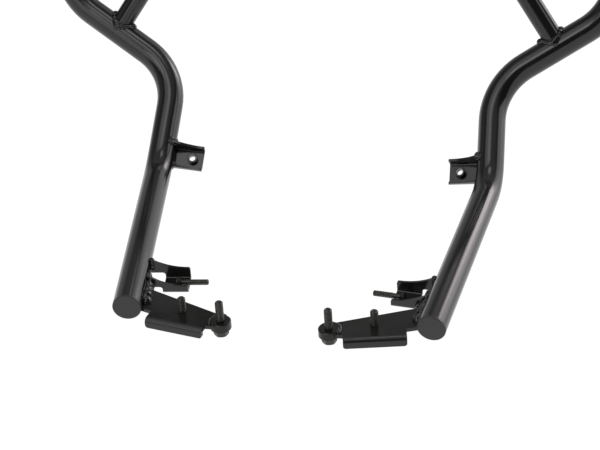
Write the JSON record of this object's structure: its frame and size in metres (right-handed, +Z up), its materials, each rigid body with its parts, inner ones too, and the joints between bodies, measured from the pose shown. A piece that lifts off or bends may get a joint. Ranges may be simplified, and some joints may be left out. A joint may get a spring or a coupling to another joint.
{
  "type": "motorcycle crash bars",
  "caption": "Mirrored pair of bent tube guards that bolt to a motorcycle's frame, each with a brace, a lower plate and folded brackets.",
  "frame": {"origin": "midway between the two plate bolts, on the top faces of the lower plates", "axes": "+X across the machine towards the right bar, +Y forward along it, +Z up along the plate bolts"},
  "size_m": [0.6274, 0.4059, 0.3003],
  "materials": {
    "black_coat": "gloss black coating over steel tube",
    "bracket_coat": "satin black coating over folded steel plate",
    "cap_coat": "satin black coating over a steel disc",
    "weld_coat": "black coating over weld beads",
    "bolt_steel": "dull dark phosphated steel"
  },
  "bodies": {
    "root": {"right_main_tube": "black_coat", "right_end_cap": "cap_coat", "right_brace_tube": "black_coat", "right_lower_plate": "bracket_coat", "right_end_boss": "bracket_coat", "right_end_bolt": "bolt_steel", "right_end_washer": "bolt_steel", "right_plate_bolt": "bolt_steel", "right_fork_bracket": "bracket_coat", "right_fork_bolt": "bolt_steel", "right_middle_bracket": "bracket_coat", "right_bracket_spacer": "bracket_coat", "right_upper_cap": "cap_coat", "right_upper_tab": "bracket_coat", "right_weld_beads": "weld_coat", "left_main_tube": "black_coat", "left_end_cap": "cap_coat", "left_brace_tube": "black_coat", "left_lower_plate": "bracket_coat", "left_end_boss": "bracket_coat", "left_end_bolt": "bolt_steel", "left_end_washer": "bolt_steel", "left_plate_bolt": "bolt_steel", "left_fork_bracket": "bracket_coat", "left_fork_bolt": "bolt_steel", "left_middle_bracket": "bracket_coat", "left_bracket_spacer": "bracket_coat", "left_upper_cap": "cap_coat", "left_upper_tab": "bracket_coat", "left_weld_beads": "weld_coat"}
  },
  "joints": []
}
